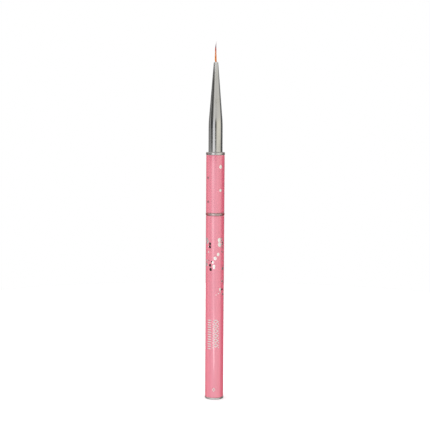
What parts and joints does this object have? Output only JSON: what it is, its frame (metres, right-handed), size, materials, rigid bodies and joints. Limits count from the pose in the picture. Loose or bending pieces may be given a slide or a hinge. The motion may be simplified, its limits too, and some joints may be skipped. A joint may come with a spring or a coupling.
{
  "type": "nail brush",
  "caption": "Fine liner nail brush: slim tapered metal ferrule in a short lacquered grip, with a long push-on cap posted on the back end.",
  "frame": {"origin": "centre of the flat end face of the posted cap, the lowest point", "axes": "+Z along the brush's axis, from the cap's end towards the hair"},
  "size_m": [0.0092, 0.0092, 0.1751],
  "materials": {
    "pink_lacquer": "gloss lacquer on drawn aluminium tube",
    "plated_trim": "bright plated",
    "nickel_ferrule": "polished nickel on drawn brass",
    "white_moulding": "moulded polypropylene",
    "epoxy": "cured amber epoxy",
    "thread": "waxed binding thread",
    "nylon_hair": "tapered synthetic filaments, orange with a dark wine tip"
  },
  "bodies": {
    "cap": {"cap_tube": "pink_lacquer", "end_plug": "plated_trim", "cap_liner": "white_moulding"},
    "joint_ring": {"joint_ring": "plated_trim"},
    "brush": {"rear_spigot": "plated_trim", "grip_tube": "pink_lacquer", "grip_core": "white_moulding", "front_bush": "white_moulding", "front_ring": "plated_trim", "ferrule": "nickel_ferrule", "ferrule_epoxy": "epoxy", "binding_thread": "thread", "hair_tuft": "nylon_hair"}
  },
  "joints": [
    {"name": "brush_pull", "type": "slide", "parent": "cap", "child": "joint_ring", "axis": [0, 0, 1], "range_m": [0, 0.02]},
    {"name": "brush_turn", "type": "hinge", "parent": "joint_ring", "child": "brush", "pos_m": [0, 0, 0.09165], "axis": [0, 0, 1], "continuous": true}
  ]
}
